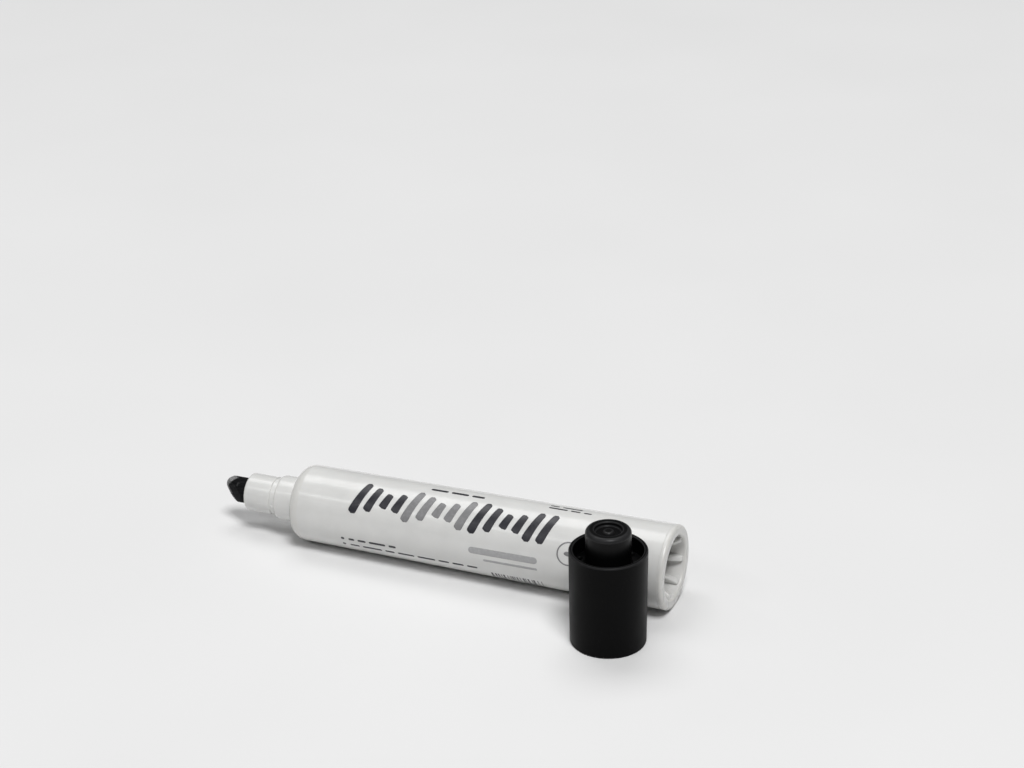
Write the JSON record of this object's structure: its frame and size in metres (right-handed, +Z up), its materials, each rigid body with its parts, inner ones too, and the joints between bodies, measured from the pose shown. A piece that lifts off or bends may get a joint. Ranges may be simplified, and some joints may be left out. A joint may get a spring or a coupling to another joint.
{
  "type": "whiteboard marker",
  "caption": "Round drafted whiteboard marker with a chisel nib, lying down, its black push-on cap standing beside it.",
  "frame": {"origin": "middle of the bounding box of the lying marker and its standing cap, at the surface they rest on", "axes": "+Z up, +X along the marker towards its rear end (the nib points to -X), the cap stands on the -Y side"},
  "size_m": [0.1042, 0.0342, 0.0255],
  "materials": {
    "barrel_plastic": "glossy white moulded polypropylene with printed graphics",
    "plug_plastic": "white moulded polypropylene, a little less glossy than the barrel",
    "nib_felt": "bonded fibre soaked in black ink, grey and worn along the writing edge",
    "reservoir_fibre": "inked bonded fibre bundle",
    "film_plastic": "thin clear wrapping film",
    "cap_plastic": "black moulded polypropylene, satin",
    "seal_plastic": "black moulded polypropylene, smoother on the post's rounded edge"
  },
  "bodies": {
    "marker": {"barrel": "barrel_plastic", "rear_plug": "plug_plastic", "nib": "nib_felt", "reservoir_core": "reservoir_fibre", "reservoir_film": "film_plastic"},
    "cap": {"cap_shell": "cap_plastic", "cap_seal": "seal_plastic"}
  },
  "joints": [
    {"name": "cap_lift", "type": "slide", "parent": "marker", "child": "cap", "axis": [0, 0, 1], "range_m": [0, 0.05]}
  ]
}
